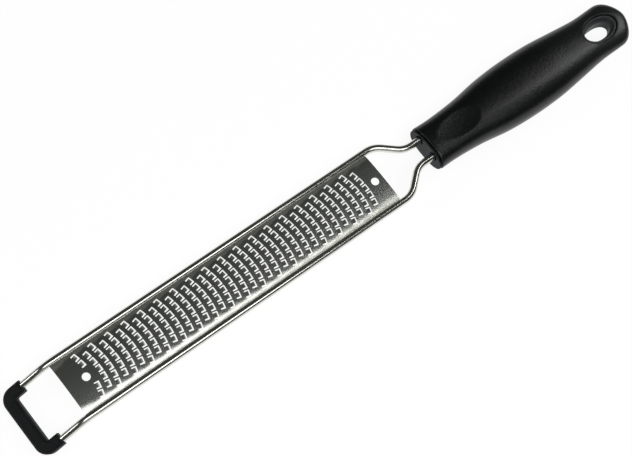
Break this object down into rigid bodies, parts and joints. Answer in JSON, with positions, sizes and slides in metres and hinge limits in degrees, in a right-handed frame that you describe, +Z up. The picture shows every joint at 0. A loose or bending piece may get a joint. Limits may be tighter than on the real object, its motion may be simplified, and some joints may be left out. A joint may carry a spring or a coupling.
{
  "type": "rasp zester",
  "caption": "Long hand-held rasp zester: etched and folded blade strip on a bent wire frame, with a rubber foot at the tip and a soft overmoulded handle with a hang hole.",
  "frame": {"origin": "middle of the length and width, on the plane that the foot and the grip's belly rest on", "axes": "+X from the tip to the handle, +Y across the blade, +Z up, the way the teeth face"},
  "size_m": [0.398, 0.0384, 0.0218],
  "materials": {
    "blade_steel": "satin etched stainless sheet, brighter on the folded edges",
    "wire_steel": "polished stainless wire",
    "foot_rubber": "matte black rubber",
    "core_plastic": "satin blue-grey moulded plastic",
    "grip_rubber": "fine-textured matte black soft grip"
  },
  "bodies": {
    "root": {"rasp_blade": "blade_steel", "frame_wire": "wire_steel", "tip_foot": "foot_rubber", "core_upper": "core_plastic", "core_lower": "core_plastic", "handle_grip": "grip_rubber"}
  },
  "joints": []
}
